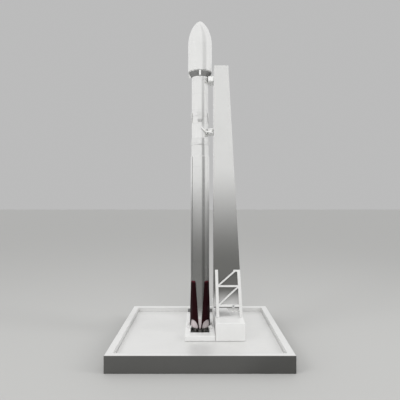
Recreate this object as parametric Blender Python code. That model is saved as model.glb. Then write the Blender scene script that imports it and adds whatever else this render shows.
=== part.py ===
"""A 1:144 desk model of a two-stage rocket on its launch base, with the tilting strongback beside it.

Lengths are in metres and +Z is up. The deck frame has its zero on the rocket's axis, level with the top of
the base's rim. +X points from the rocket to the strongback, and -Y is the front.
"""

import math

import bmesh
import bpy
from mathutils import Matrix, Vector

MM = 0.001
GAP = 0.3 * MM

# Base: a square tray, a slab with a raised rim round it.
BASE_SIDE = 248 * MM
BASE_HEIGHT = 23.4 * MM
RIM_WIDTH = 10 * MM
TRAY_DEPTH = 7.5 * MM
EDGE_BEVEL = 0.8 * MM

# Launch mount: the low platform under the rocket, with its flame opening.
MOUNT_HALF_X = 22.6 * MM
MOUNT_FRONT = -48.7 * MM
MOUNT_REAR = 85.8 * MM
OPENING_HALF_X = 14.5 * MM
OPENING_HALF_Y = 31 * MM
TRENCH_FLOOR = -20.4 * MM
WALL_THICK = 2.6 * MM
WALL_HEIGHT = 5.4 * MM
WALL_SETBACK = 1.0 * MM
MOUNT_BEVEL = 0.5 * MM
DEFLECTOR_CREST = -8.5 * MM
DEFLECTOR_LIP = 1.2 * MM
DEFLECTOR_REACH = 20 * MM
DEFLECTOR_STEPS = 8

# Hold-down arms: their outline across the mount, on one side of the rocket, and where they stand.
HOLD_DOWN = ((13.2, 0.3), (19.6, 0.3), (19.6, 2.0), (17.6, 4.4), (13.2, 3.2))
HOLD_DOWN_Y = 8.2 * MM
HOLD_DOWN_HALF = 1.8 * MM

# Strongback's plinth, flush with the front of the mount.
PLINTH_LEFT = 23.1 * MM
PLINTH_RIGHT = 66.5 * MM
PLINTH_REAR = 109.5 * MM
PLINTH_TOP = 18.9 * MM
PLINTH_BEVEL = 0.6 * MM

# Rocket.
FIRST_R = 14.6 * MM
FIRST_TOP = 268 * MM
NECK_R = 13.5 * MM
NECK_SLOPE = 1.2 * MM
NECK_TOP = 286 * MM
SECOND_R = 12.95 * MM
COLLAR_R = 13.2 * MM
COLLAR_TOP = 298.3 * MM
INTERSTAGE_TOP = 331 * MM
SECOND_TOP = 393.1 * MM
SKIRT_R = 17.9 * MM
SKIRT_LOW = 393.4 * MM
SKIRT_TOP = 401 * MM
SKIRT_PLATE = 0.5 * MM
CONE_TOP_R = 17.4 * MM
POST_HALF = 1.4 * MM
POST_FOOT_R = 17.6 * MM
FAIRING_R = 18.7 * MM
FAIRING_LIP = 0.4 * MM
OGIVE_START = 442 * MM
OGIVE_POWERS = (2.2, 0.7)
OGIVE_STEPS = 13
ROCKET_TOP = 483 * MM
SECTION_LOW = 0.6 * MM
SECTION_TOP = 15 * MM
SECTION_CHAMFER = 0.8 * MM
ROUND_STEPS = 64

# Raceways up the first stage: half their width, in degrees, and how their upper end tapers.
RACEWAY_AZIMUTHS = (-59, 121)
RACEWAY_HALF = 2.6
RACEWAY_TIP_HALF = 0.8
RACEWAY_TAPER = 3 * MM
RACEWAY_FOOT = 82 * MM
RACEWAY_PROUD = 0.5 * MM

# Grid fins folded against the interstage, thin at the hinge and thick at the grid. Widths are in degrees.
FIN_LOW = 321.5 * MM
FIN_GRID = 328.5 * MM
FIN_HIGH = 337.3 * MM
FIN_HALF = 19
FIN_HINGE_HALF = 14
FIN_PROUD = 1.15 * MM
HINGE_PROUD = 0.45 * MM

# Thruster pods round the interstage's foot.
POD_LOW = 286.6 * MM
POD_SHOULDER = 290 * MM
POD_HIGH = 292.4 * MM
POD_HALF = 11
POD_TOP_HALF = 8
POD_PROUD = 1.1 * MM
POD_TOP_PROUD = 0.5 * MM

# Landing legs, folded up the first stage. Widths are in degrees.
LEG_IN = FIRST_R + GAP
LEG_PROUD = 1.15 * MM
LEG_LOW = 0.3 * MM
LEG_TOP = 74 * MM
LEG_HALF_TOP = 17
LEG_TIP_HALF = 13
LEG_TIP = 2.5 * MM
LEG_HALF_FOOT = 39
LEG_THINNING = 0.55
ARCH_HALF = 33.5
ARCH_HEIGHT = 13.4 * MM
ARCH_STEPS = 12

# Engines.
BELL_RING_R = 9.6 * MM
BELL_MOUTH_R = 3.3 * MM
BELL_THROAT_R = 1.5 * MM
BELL_WALL = 0.45 * MM
BELL_LENGTH = 5.2 * MM
BELL_CURVE = 0.62
BELL_STEPS = 4
BELL_ROOT = 0.4 * MM
BELL_DEPTH = 1.4 * MM
PLATE_R = 13.6 * MM
PLATE_THICK = 1.2 * MM

# Strongback: a tapered mast between two truss frames, hinged at its foot.
MAST_LEFT = 21.1 * MM
MAST_CORNER = (1.0 * MM, 10 * MM)
MAST_RIGHT_TOP = 44 * MM
MAST_TOP = 409 * MM
MAST_TAPER = 0.0562
MAST_BOTTOM = 33.7 * MM
MAST_HALF_Y = 14 * MM
MAST_BEVEL = 0.7 * MM
PIVOT_X = 51.5 * MM
PIVOT_Z = 36.2 * MM
LUG_R = 10.5 * MM
LUG_STEPS = 12
PIN_R = 1.2 * MM
PIN_PROUD = 1.0 * MM
FRAME_IN = MAST_HALF_Y + 0.5 * MM
FRAME_THICK = 3.5 * MM
FRAME_TOP = 92 * MM
FRAME_LEFT = (25.3 * MM, 23.2 * MM)
BOSS_R = 2.4 * MM
CHORD = 4.5 * MM
RAILS = ((35.2 * MM, 38.5 * MM), (65.8 * MM, 68.2 * MM))
BRACE = 1.9 * MM
BRACE_SINK = 0.5 * MM
CAP_THICK = 2.5 * MM
CAP_LENGTHS = (6.2 * MM, 5.4 * MM)
OVERLAP = 1.0 * MM

# Arms and claws that steady the second stage.
ARM_LEFT = 12.5 * MM
TOP_ARM = (384.7 * MM, 392.1 * MM)
MID_ARM = (303.8 * MM, 311.2 * MM)
SADDLE_R = SECOND_R + 0.5 * MM
CLAW_PIN_X = 17 * MM
CLAW_PIN_Y = 12.6 * MM
CLAW_BARREL_R = 2.1 * MM
CLAW_PIN_R = 0.7 * MM
CLAW_IN = SECOND_R + 0.8 * MM
CLAW_THICK = 1.3 * MM
CLAW_WIDTH = 2.4 * MM
CLAW_LOW = 303.4 * MM
CLAW_START = 44
CLAW_TIP = 84
CLAW_RISE = 8.8 * MM
WEB_ANGLE = 49
CLAW_STEPS = 8
WEB_THICK = 1.5 * MM
EAR = 1.3 * MM
EAR_STEPS = 8
SMALL_PIN_PROUD = 0.6 * MM

FRONT = -90


def clear_scene():
    for obj in list(bpy.data.objects):
        bpy.data.objects.remove(obj, do_unlink=True)


def material(name, colour, roughness, metallic=0.0):
    found = bpy.data.materials.get(name)
    if found:
        return found
    made = bpy.data.materials.new(name)
    made.use_nodes = True
    shader = made.node_tree.nodes["Principled BSDF"]
    shader.inputs["Base Color"].default_value = (*colour, 1.0)
    shader.inputs["Roughness"].default_value = roughness
    shader.inputs["Metallic"].default_value = metallic
    return made


def empty(name, at, parent=None):
    """An axis or a frame that pieces hang on. Its place is given in the deck frame."""
    made = bpy.data.objects.new(name, None)
    made.empty_display_size = 0.01
    made["at"] = tuple(at)
    made.parent = parent
    if parent:
        made.location = Vector(at) - Vector(parent["at"])
    else:
        made.location = (0.0, 0.0, BASE_HEIGHT)
    bpy.context.scene.collection.objects.link(made)
    return made


def piece(name, shape, finish, hang):
    """Turns a bmesh in the deck frame into an object on its empty."""
    bmesh.ops.recalc_face_normals(shape, faces=shape.faces)
    bmesh.ops.translate(shape, verts=shape.verts, vec=-Vector(hang["at"]))
    mesh = bpy.data.meshes.new(name)
    shape.to_mesh(mesh)
    shape.free()
    mesh.materials.append(material(*finish))
    mesh.shade_smooth()
    mesh.set_sharp_from_angle(angle=math.radians(35))
    made = bpy.data.objects.new(name, mesh)
    made.parent = hang
    bpy.context.scene.collection.objects.link(made)
    return made


def helper(name, shape, hang):
    """A shape that is cut from another or joined to it, and isn't a piece itself."""
    made = piece(name, shape, WHITE, hang)
    made.hide_render = True
    made.display_type = "WIRE"
    return made


def boolean(obj, other, operation):
    step = obj.modifiers.new(other.name, "BOOLEAN")
    step.operation = operation
    step.solver = "EXACT"
    step.object = other


def bevel(obj, width, segments=2):
    step = obj.modifiers.new("edge", "BEVEL")
    step.width = width
    step.segments = segments
    step.limit_method = "ANGLE"
    step.angle_limit = math.radians(50)


def block(low, high):
    shape = bmesh.new()
    bmesh.ops.create_cube(shape, size=1.0)
    size = Vector(high) - Vector(low)
    bmesh.ops.scale(shape, vec=size, verts=shape.verts)
    bmesh.ops.translate(shape, vec=(Vector(high) + Vector(low)) / 2, verts=shape.verts)
    return shape


def prism(outline, low, high, along="Y"):
    """An outline of two coordinates, in the plane across one axis, drawn out along that axis."""
    put = {
        "X": lambda u, v, w: (w, u, v),
        "Y": lambda u, v, w: (u, w, v),
        "Z": lambda u, v, w: (u, v, w),
    }[along]
    shape = bmesh.new()
    face = shape.faces.new([shape.verts.new(put(u, v, low)) for u, v in outline])
    grown = bmesh.ops.extrude_face_region(shape, geom=[face])
    moved = [item for item in grown["geom"] if isinstance(item, bmesh.types.BMVert)]
    bmesh.ops.translate(shape, verts=moved, vec=Vector(put(0.0, 0.0, high - low)))
    return shape


def turned(profile, steps=ROUND_STEPS, centre=(0.0, 0.0), start=0.0, sweep=360.0):
    """A closed profile of (radius, height) points turned about a vertical axis."""
    shape = bmesh.new()
    whole = sweep == 360.0
    count = steps if whole else steps + 1
    rings = []
    for radius, height in profile:
        if radius == 0.0:
            rings.append([shape.verts.new((*centre, height))] * count)
            continue
        angles = [math.radians(start + sweep * k / steps) for k in range(count)]
        ring = [(centre[0] + radius * math.cos(a), centre[1] + radius * math.sin(a), height) for a in angles]
        rings.append([shape.verts.new(point) for point in ring])
    for lower, upper in zip(rings, rings[1:] + rings[:1]):
        for k in range(steps):
            corners = [lower[k], lower[(k + 1) % count], upper[(k + 1) % count], upper[k]]
            distinct = list(dict.fromkeys(corners))
            if len(distinct) > 2:
                shape.faces.new(distinct)
    if not whole:
        for k in (0, steps):
            shape.faces.new(list(dict.fromkeys(ring[k] for ring in rings)))
    return shape


def wrapped(outline, inner, outer, azimuth, step=7.5):
    """An outline of (degrees, height) points bent round the rocket's axis, from the inner to the outer
    radius. The radii are functions of the height or plain numbers."""
    reach = lambda value, height: value(height) if callable(value) else value
    shape = prism(outline, 0.0, 1.0, along="Z")
    lowest = min(angle for angle, _ in outline)
    highest = max(angle for angle, _ in outline)
    levels = [(v, Vector((0.0, 1.0, 0.0))) for v in sorted({height for _, height in outline})]
    cuts = [(Vector((k * step, 0.0, 0.0)), Vector((1.0, 0.0, 0.0)))
            for k in range(math.ceil(lowest / step), math.floor(highest / step) + 1)]
    cuts += [(Vector((0.0, v, 0.0)), normal) for v, normal in levels]
    for spot, normal in cuts:
        everything = shape.verts[:] + shape.edges[:] + shape.faces[:]
        bmesh.ops.bisect_plane(shape, geom=everything, plane_co=spot, plane_no=normal, dist=1e-7)
    for vert in shape.verts:
        angle, height, side = vert.co
        radius = reach(outer, height) if side > 0.5 else reach(inner, height)
        turn = math.radians(azimuth + angle)
        vert.co = (radius * math.cos(turn), radius * math.sin(turn), height)
    return shape


def rod(start, end, radius, steps=24):
    """A plain round bar between two points."""
    start, end = Vector(start), Vector(end)
    shape = bmesh.new()
    spin = (end - start).to_track_quat("Z", "Y").to_matrix().to_4x4()
    where = Matrix.Translation((start + end) / 2) @ spin
    bmesh.ops.create_cone(shape, cap_ends=True, segments=steps, radius1=radius, radius2=radius,
                          depth=(end - start).length, matrix=where)
    return shape


def bar(start, end, width):
    """The four corners of a straight flat bar in a plane, from one centre line point to the other."""
    along = Vector(end) - Vector(start)
    side = Vector((-along.y, along.x)).normalized() * width / 2
    a, b = Vector(start), Vector(end)
    return [tuple(a - side), tuple(b - side), tuple(b + side), tuple(a + side)]


clear_scene()

WHITE = ("white_satin", (0.80, 0.80, 0.79), 0.32)
GLOSS = ("white_gloss", (0.82, 0.82, 0.81), 0.16)
BASE_WHITE = ("base_white", (0.78, 0.78, 0.77), 0.38)
MAROON = ("leg_maroon", (0.045, 0.008, 0.012), 0.28)
DARK = ("dark_grey", (0.06, 0.06, 0.06), 0.5)
ADAPTER = ("adapter_grey", (0.19, 0.19, 0.185), 0.45)
METAL = ("engine_metal", (0.24, 0.23, 0.22), 0.35, 0.9)
STEEL = ("pin_steel", (0.55, 0.55, 0.56), 0.3, 0.9)

DECK = empty("deck", (0.0, 0.0, 0.0))
MAST_PIVOT = empty("mast_pivot", (PIVOT_X, 0.0, PIVOT_Z), DECK)


def make_base():
    half = BASE_SIDE / 2
    inner = half - RIM_WIDTH
    rim = piece("base_rim", block((-half, -half, -BASE_HEIGHT), (half, half, 0.0)), BASE_WHITE, DECK)
    well = helper("rim_well", block((-inner, -inner, -2 * BASE_HEIGHT), (inner, inner, BASE_HEIGHT)), DECK)
    boolean(rim, well, "DIFFERENCE")
    bevel(rim, EDGE_BEVEL)
    floor_half = inner - GAP
    floor = piece("base_floor", block((-floor_half, -floor_half, -BASE_HEIGHT),
                                      (floor_half, floor_half, -TRAY_DEPTH)), BASE_WHITE, DECK)
    trench = block((-OPENING_HALF_X, -OPENING_HALF_Y, TRENCH_FLOOR),
                   (OPENING_HALF_X, OPENING_HALF_Y, BASE_HEIGHT))
    boolean(floor, helper("trench", trench, DECK), "DIFFERENCE")


def make_mount():
    low = -TRAY_DEPTH + GAP
    mount = piece("launch_mount", block((-MOUNT_HALF_X, MOUNT_FRONT, low), (MOUNT_HALF_X, MOUNT_REAR, 0.0)),
                  WHITE, DECK)
    hole = block((-OPENING_HALF_X, -OPENING_HALF_Y, -BASE_HEIGHT),
                 (OPENING_HALF_X, OPENING_HALF_Y, BASE_HEIGHT))
    bevel(mount, MOUNT_BEVEL)
    boolean(mount, helper("mount_hole", hole, DECK), "DIFFERENCE")
    wall_side, wall_rear = MOUNT_HALF_X - WALL_SETBACK, MOUNT_REAR - WALL_SETBACK
    wall = block((-wall_side, wall_rear - WALL_THICK, GAP), (wall_side, wall_rear, WALL_HEIGHT))
    piece("mount_rear_wall", wall, DARK, DECK)
    reach = OPENING_HALF_X - GAP
    end = OPENING_HALF_Y - GAP
    foot = TRENCH_FLOOR + GAP
    lip = foot + DEFLECTOR_LIP
    slope = [(-end, foot), (end, foot), (end, lip)]
    for k in range(-DEFLECTOR_STEPS, DEFLECTOR_STEPS + 1):
        share = -k / DEFLECTOR_STEPS
        slope.append((share * DEFLECTOR_REACH, DEFLECTOR_CREST - (DEFLECTOR_CREST - lip) * share ** 2))
    slope.append((-end, lip))
    piece("flame_deflector", prism(slope, -reach, reach, along="X"), DARK, DECK)
    number = 0
    for side in (-1, 1):
        for end in (-1, 1):
            number += 1
            make_hold_down(number, side, end)


def make_hold_down(number, side, end):
    """A short white arm that reaches in from the mount to the foot of the first stage."""
    outline = [(side * x * MM, z * MM) for x, z in HOLD_DOWN]
    centre = end * HOLD_DOWN_Y
    shape = prism(outline, centre - HOLD_DOWN_HALF, centre + HOLD_DOWN_HALF)
    arm = piece(f"hold_down_{number}", shape, WHITE, DECK)
    clear = LEG_IN + LEG_PROUD + 2 * GAP
    away = turned([(0.0, -SECTION_TOP), (clear, -SECTION_TOP), (clear, SECTION_TOP), (0.0, SECTION_TOP)])
    boolean(arm, helper(f"hold_down_away_{number}", away, DECK), "DIFFERENCE")


def make_plinth():
    plinth = piece("strongback_plinth", block((PLINTH_LEFT, MOUNT_FRONT, -TRAY_DEPTH + GAP),
                                              (PLINTH_RIGHT, PLINTH_REAR, PLINTH_TOP)), WHITE, DECK)
    bevel(plinth, PLINTH_BEVEL)


def mast_right(height):
    return MAST_RIGHT_TOP + (MAST_TOP - height) * MAST_TAPER


def frame_parts():
    """The chords, rails and braces of one truss frame, as outlines in X and Z."""
    foot = PLINTH_TOP + GAP
    cap = FRAME_TOP - CAP_THICK
    left_foot, left_top = FRAME_LEFT
    left_x = lambda z: left_foot + (left_top - left_foot) * (z - foot) / (FRAME_TOP - foot)
    right_x = lambda z: mast_right(z) - CHORD
    parts = [[(x(foot), foot), (x(foot) + CHORD, foot), (x(FRAME_TOP) + CHORD, FRAME_TOP),
              (x(FRAME_TOP), FRAME_TOP)] for x in (left_x, right_x)]
    for low, high in RAILS:
        parts.append([(left_x(low) + OVERLAP, low), (right_x(low) + OVERLAP, low),
                      (right_x(high) + OVERLAP, high), (left_x(high) + OVERLAP, high)])
    ends = ((right_x(RAILS[1][0]), RAILS[1][0]), (right_x(cap) - CHORD, cap))
    for (low, high), (stop_x, stop_z) in zip(RAILS, ends):
        start = (left_x(low) + CHORD - BRACE_SINK, high - BRACE_SINK)
        parts.append(bar(start, (stop_x + BRACE_SINK, stop_z + BRACE_SINK), BRACE))
    parts.append([(right_x(cap) - CAP_LENGTHS[0], cap), (right_x(cap) + OVERLAP, cap),
                  (right_x(FRAME_TOP) + OVERLAP, FRAME_TOP), (right_x(FRAME_TOP) - CAP_LENGTHS[1], FRAME_TOP)])
    return parts


def make_frame(name, side):
    near, far = sorted((side * FRAME_IN, side * (FRAME_IN + FRAME_THICK)))
    parts = frame_parts()
    frame = piece(name, prism(parts[0], near, far), WHITE, DECK)
    for number, outline in enumerate(parts[1:], 1):
        boolean(frame, helper(f"{name}_bar_{number}", prism(outline, near, far), DECK), "UNION")
    boss = rod((PIVOT_X, near, PIVOT_Z), (PIVOT_X, far, PIVOT_Z), BOSS_R)
    boolean(frame, helper(f"{name}_boss", boss, DECK), "UNION")
    bore = rod((PIVOT_X, near - MM, PIVOT_Z), (PIVOT_X, far + MM, PIVOT_Z), PIN_R + GAP)
    boolean(frame, helper(f"{name}_bore", bore, DECK), "DIFFERENCE")


def make_mast():
    in_by, down_by = MAST_CORNER
    outline = [(MAST_LEFT + in_by, MAST_TOP), (MAST_LEFT, MAST_TOP - down_by), (MAST_LEFT, MAST_BOTTOM)]
    start = math.degrees(math.asin((MAST_BOTTOM - PIVOT_Z) / LUG_R))
    for k in range(LUG_STEPS + 1):
        turn = math.radians(180 - start + k * (180 + 2 * start) / LUG_STEPS)
        outline.append((PIVOT_X + LUG_R * math.cos(turn), PIVOT_Z + LUG_R * math.sin(turn)))
    outline += [(mast_right(MAST_BOTTOM), MAST_BOTTOM), (MAST_RIGHT_TOP, MAST_TOP)]
    mast = piece("strongback_mast", prism(outline, -MAST_HALF_Y, MAST_HALF_Y), GLOSS, MAST_PIVOT)
    bevel(mast, MAST_BEVEL, 1)
    bore = rod((PIVOT_X, -2 * MAST_HALF_Y, PIVOT_Z), (PIVOT_X, 2 * MAST_HALF_Y, PIVOT_Z), PIN_R + GAP)
    boolean(mast, helper("mast_bore", bore, MAST_PIVOT), "DIFFERENCE")
    end = FRAME_IN + FRAME_THICK + PIN_PROUD
    piece("pivot_pin", rod((PIVOT_X, -end, PIVOT_Z), (PIVOT_X, end, PIVOT_Z), PIN_R), STEEL, DECK)


def make_arms():
    right = MAST_LEFT - GAP
    half = MAST_HALF_Y
    saddle = lambda: turned([(0.0, NECK_TOP), (SADDLE_R, NECK_TOP), (SADDLE_R, SKIRT_LOW), (0.0, SKIRT_LOW)])
    top = piece("top_arm", block((ARM_LEFT, -half, TOP_ARM[0]), (right, half, TOP_ARM[1])), WHITE, MAST_PIVOT)
    bevel(top, MOUNT_BEVEL, 1)
    boolean(top, helper("top_saddle", saddle(), MAST_PIVOT), "DIFFERENCE")
    low, high = MID_ARM
    middle_half = CLAW_PIN_Y - CLAW_BARREL_R - GAP
    middle = piece("middle_arm", block((ARM_LEFT, -middle_half, low), (right, middle_half, high)),
                   WHITE, MAST_PIVOT)
    boolean(middle, helper("middle_saddle", saddle(), MAST_PIVOT), "DIFFERENCE")
    for side, end in ((-1, "front"), (1, "rear")):
        for level, bottom in (("low", low), ("high", high - EAR)):
            outline = [(right, side * (middle_half - OVERLAP)), (right, side * CLAW_PIN_Y)]
            for k in range(EAR_STEPS + 1):
                turn = math.pi * k / EAR_STEPS
                outline.append((CLAW_PIN_X - CLAW_BARREL_R * math.sin(turn),
                                side * (CLAW_PIN_Y + CLAW_BARREL_R * math.cos(turn))))
            outline.append((CLAW_PIN_X, side * (middle_half - OVERLAP)))
            ear = prism(outline, bottom, bottom + EAR, along="Z")
            boolean(middle, helper(f"ear_{end}_{level}", ear, MAST_PIVOT), "UNION")
        hole = rod((CLAW_PIN_X, side * CLAW_PIN_Y, low - MM), (CLAW_PIN_X, side * CLAW_PIN_Y, high + MM),
                   CLAW_PIN_R + GAP, 16)
        boolean(middle, helper(f"ear_hole_{end}", hole, MAST_PIVOT), "DIFFERENCE")
        pin = rod((CLAW_PIN_X, side * CLAW_PIN_Y, low - SMALL_PIN_PROUD),
                  (CLAW_PIN_X, side * CLAW_PIN_Y, high + SMALL_PIN_PROUD), CLAW_PIN_R, 16)
        piece(f"claw_pin_{end}", pin, STEEL, MAST_PIVOT)
        make_claw(end, side)


def make_claw(end, side):
    """A flat bar that climbs as it curves round the interstage, from its barrel on the pin to its tip."""
    low, high = MID_ARM[0] + EAR + GAP, MID_ARM[1] - EAR - GAP
    axis = empty(f"claw_pivot_{end}", (CLAW_PIN_X, side * CLAW_PIN_Y, low), MAST_PIVOT)
    barrel = rod((CLAW_PIN_X, side * CLAW_PIN_Y, low), (CLAW_PIN_X, side * CLAW_PIN_Y, high), CLAW_BARREL_R)
    claw = piece(f"claw_{end}", barrel, WHITE, axis)
    upper, lower = [], []
    for k in range(CLAW_STEPS + 1):
        angle = CLAW_START + (CLAW_TIP - CLAW_START) * k / CLAW_STEPS
        bottom = CLAW_LOW + CLAW_RISE * k / CLAW_STEPS
        lower.append((side * angle, bottom))
        upper.append((side * angle, bottom + CLAW_WIDTH))
    band = wrapped(lower + upper[::-1], CLAW_IN, CLAW_IN + CLAW_THICK, 0.0, 5.0)
    boolean(claw, helper(f"claw_band_{end}", band, axis), "UNION")
    root = math.radians(WEB_ANGLE)
    mid = CLAW_IN + CLAW_THICK / 2
    web = bar((mid * math.cos(root), side * mid * math.sin(root)), (CLAW_PIN_X, side * CLAW_PIN_Y), WEB_THICK)
    boolean(claw, helper(f"claw_web_{end}", prism(web, low, low + CLAW_WIDTH, along="Z"), axis), "UNION")
    hole = rod((CLAW_PIN_X, side * CLAW_PIN_Y, low - MM), (CLAW_PIN_X, side * CLAW_PIN_Y, high + MM),
               CLAW_PIN_R + GAP, 16)
    boolean(claw, helper(f"claw_hole_{end}", hole, axis), "DIFFERENCE")


def make_first_stage():
    low, top = SECTION_LOW, SECTION_TOP
    section = [(0.0, low), (FIRST_R - SECTION_CHAMFER, low), (FIRST_R, low + SECTION_CHAMFER), (FIRST_R, top),
               (0.0, top)]
    piece("engine_section", turned(section), WHITE, DECK)
    start = top + GAP
    stage = [(0.0, start), (FIRST_R, start), (FIRST_R, FIRST_TOP), (NECK_R, FIRST_TOP + NECK_SLOPE),
             (NECK_R, NECK_TOP), (0.0, NECK_TOP)]
    piece("first_stage", turned(stage), GLOSS, DECK)
    inner = FIRST_R + GAP
    taper = FIRST_TOP - RACEWAY_TAPER
    outline = [(-RACEWAY_HALF, RACEWAY_FOOT), (RACEWAY_HALF, RACEWAY_FOOT), (RACEWAY_HALF, taper),
               (RACEWAY_TIP_HALF, FIRST_TOP), (-RACEWAY_TIP_HALF, FIRST_TOP), (-RACEWAY_HALF, taper)]
    for number, azimuth in enumerate(RACEWAY_AZIMUTHS, 1):
        piece(f"raceway_{number}", wrapped(outline, inner, inner + RACEWAY_PROUD, FRONT + azimuth), WHITE, DECK)


def make_engines():
    top = SECTION_LOW - GAP
    plate = [(0.0, top), (0.0, top - PLATE_THICK), (PLATE_R, top - PLATE_THICK), (PLATE_R, top)]
    engines = piece("engine_cluster", turned(plate, 48), METAL, DECK)
    turns = [k * math.pi / 4 for k in range(8)]
    places = [(0.0, 0.0)] + [(BELL_RING_R * math.cos(turn), BELL_RING_R * math.sin(turn)) for turn in turns]
    start = top - PLATE_THICK + BELL_ROOT
    for number, centre in enumerate(places, 1):
        outer, inner = [], []
        for k in range(BELL_STEPS + 1):
            share = k / BELL_STEPS
            radius = BELL_THROAT_R + (BELL_MOUTH_R - BELL_THROAT_R) * share ** BELL_CURVE
            height = start - BELL_LENGTH * share
            outer.append((radius, height))
            if k:
                inner.append((radius - BELL_WALL, height))
        bell = turned([(0.0, start)] + outer + inner[::-1] + [(0.0, start - BELL_DEPTH)], 20, centre)
        boolean(engines, helper(f"bell_{number}", bell, DECK), "UNION")


def make_legs():
    """Each leg covers a tapering strip of the stage and is thinner at its tip. Its foot is arched over the
    engine section."""
    def outer(height):
        share = (height - LEG_TOP + LEG_TIP) / LEG_TIP
        return LEG_IN + LEG_PROUD * (1.0 - LEG_THINNING * min(max(share, 0.0), 1.0))

    outline = [(-LEG_HALF_FOOT, LEG_LOW), (-ARCH_HALF, LEG_LOW)]
    for k in range(1, ARCH_STEPS):
        turn = math.pi * (1 - k / ARCH_STEPS)
        outline.append((ARCH_HALF * math.cos(turn), LEG_LOW + ARCH_HEIGHT * math.sin(turn) ** 0.8))
    outline += [(ARCH_HALF, LEG_LOW), (LEG_HALF_FOOT, LEG_LOW), (LEG_HALF_TOP, LEG_TOP - LEG_TIP),
                (LEG_TIP_HALF, LEG_TOP), (-LEG_TIP_HALF, LEG_TOP), (-LEG_HALF_TOP, LEG_TOP - LEG_TIP)]
    for number in range(4):
        azimuth = FRONT + 45 + 90 * number
        piece(f"landing_leg_{number + 1}", wrapped(outline, LEG_IN, outer, azimuth), MAROON, DECK)


def make_upper_stages():
    low = NECK_TOP + GAP
    top = INTERSTAGE_TOP
    interstage = [(0.0, low), (COLLAR_R, low), (COLLAR_R, COLLAR_TOP), (SECOND_R, COLLAR_TOP + GAP),
                  (SECOND_R, top), (0.0, top)]
    piece("interstage", turned(interstage), GLOSS, DECK)
    second = [(0.0, top + GAP), (SECOND_R, top + GAP), (SECOND_R, SECOND_TOP), (0.0, SECOND_TOP)]
    piece("second_stage", turned(second), GLOSS, DECK)
    fin_in, pod_in = SECOND_R + GAP, COLLAR_R + GAP
    fin = [(-FIN_HINGE_HALF, FIN_LOW), (FIN_HINGE_HALF, FIN_LOW), (FIN_HALF, FIN_GRID), (FIN_HALF, FIN_HIGH),
           (-FIN_HALF, FIN_HIGH), (-FIN_HALF, FIN_GRID)]
    fin_out = lambda z: fin_in + (FIN_PROUD if z > FIN_GRID - GAP else HINGE_PROUD)
    pod = [(-POD_HALF, POD_LOW), (POD_HALF, POD_LOW), (POD_HALF, POD_SHOULDER), (POD_TOP_HALF, POD_HIGH),
           (-POD_TOP_HALF, POD_HIGH), (-POD_HALF, POD_SHOULDER)]
    pod_out = lambda z: pod_in + (POD_PROUD if z < POD_SHOULDER + GAP else POD_TOP_PROUD)
    for number in range(4):
        azimuth = FRONT + 90 * number
        piece(f"grid_fin_{number + 1}", wrapped(fin, fin_in, fin_out, azimuth), WHITE, DECK)
        piece(f"thruster_pod_{number + 1}", wrapped(pod, pod_in, pod_out, azimuth), WHITE, DECK)


def make_fairing():
    low, top = SKIRT_LOW, SKIRT_TOP
    plate, cone_top = top - SKIRT_PLATE, top - SKIRT_PLATE - GAP
    skirt = piece("fairing_skirt", turned([(0.0, plate), (SKIRT_R, plate), (SKIRT_R, top), (0.0, top)]),
                  WHITE, DECK)
    post = [(SECOND_R + GAP, low), (POST_FOOT_R, low), (SKIRT_R, plate), (SKIRT_R, top),
            (CONE_TOP_R + GAP, top), (CONE_TOP_R + GAP, cone_top)]
    for number in range(4):
        shape = prism(post, -POST_HALF, POST_HALF)
        bmesh.ops.rotate(shape, cent=(0.0, 0.0, 0.0), verts=shape.verts,
                         matrix=Matrix.Rotation(math.radians(90 * number), 3, "Z"))
        boolean(skirt, helper(f"post_{number + 1}", shape, DECK), "UNION")
    cone = turned([(0.0, low), (SECOND_R, low), (CONE_TOP_R, cone_top), (0.0, cone_top)])
    piece("skirt_liner", cone, ADAPTER, DECK)
    start = top + GAP
    profile = [(0.0, start), (FAIRING_R - FAIRING_LIP, start), (FAIRING_R, start + FAIRING_LIP)]
    bulge, round_off = OGIVE_POWERS
    for k in range(OGIVE_STEPS):
        share = math.sin(math.pi / 2 * k / OGIVE_STEPS)
        profile.append((FAIRING_R * (1 - share ** bulge) ** round_off,
                        OGIVE_START + (ROCKET_TOP - OGIVE_START) * share))
    profile.append((0.0, ROCKET_TOP))
    for name, begin in (("fairing_front", 180.0), ("fairing_rear", 0.0)):
        half = turned(profile, 32, start=begin, sweep=180.0)
        shift = -GAP / 2 if begin else GAP / 2
        bmesh.ops.translate(half, verts=half.verts, vec=(0.0, shift, 0.0))
        piece(name, half, GLOSS, DECK)


make_base()
make_mount()
make_plinth()
make_frame("frame_front", -1)
make_frame("frame_rear", 1)
make_mast()
make_arms()
make_first_stage()
make_engines()
make_legs()
make_upper_stages()
make_fairing()
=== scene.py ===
"""A desk model of a slender two-stage rocket with folded legs, on a square tray base, with its strongback."""

import bmesh
import bpy
import numpy as np
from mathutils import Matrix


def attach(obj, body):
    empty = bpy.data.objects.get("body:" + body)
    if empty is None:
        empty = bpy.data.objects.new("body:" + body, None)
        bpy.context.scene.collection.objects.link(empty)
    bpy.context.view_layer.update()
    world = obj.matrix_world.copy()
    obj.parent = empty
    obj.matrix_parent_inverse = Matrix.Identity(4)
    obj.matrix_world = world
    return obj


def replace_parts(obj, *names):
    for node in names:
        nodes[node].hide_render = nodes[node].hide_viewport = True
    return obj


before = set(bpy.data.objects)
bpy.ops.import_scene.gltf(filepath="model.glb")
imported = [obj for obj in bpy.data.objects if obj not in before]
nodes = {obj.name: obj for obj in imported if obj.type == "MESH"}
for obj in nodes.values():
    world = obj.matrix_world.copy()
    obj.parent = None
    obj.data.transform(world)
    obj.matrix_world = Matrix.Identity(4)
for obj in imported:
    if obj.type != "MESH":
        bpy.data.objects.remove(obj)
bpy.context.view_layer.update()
MM = 0.001

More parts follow.
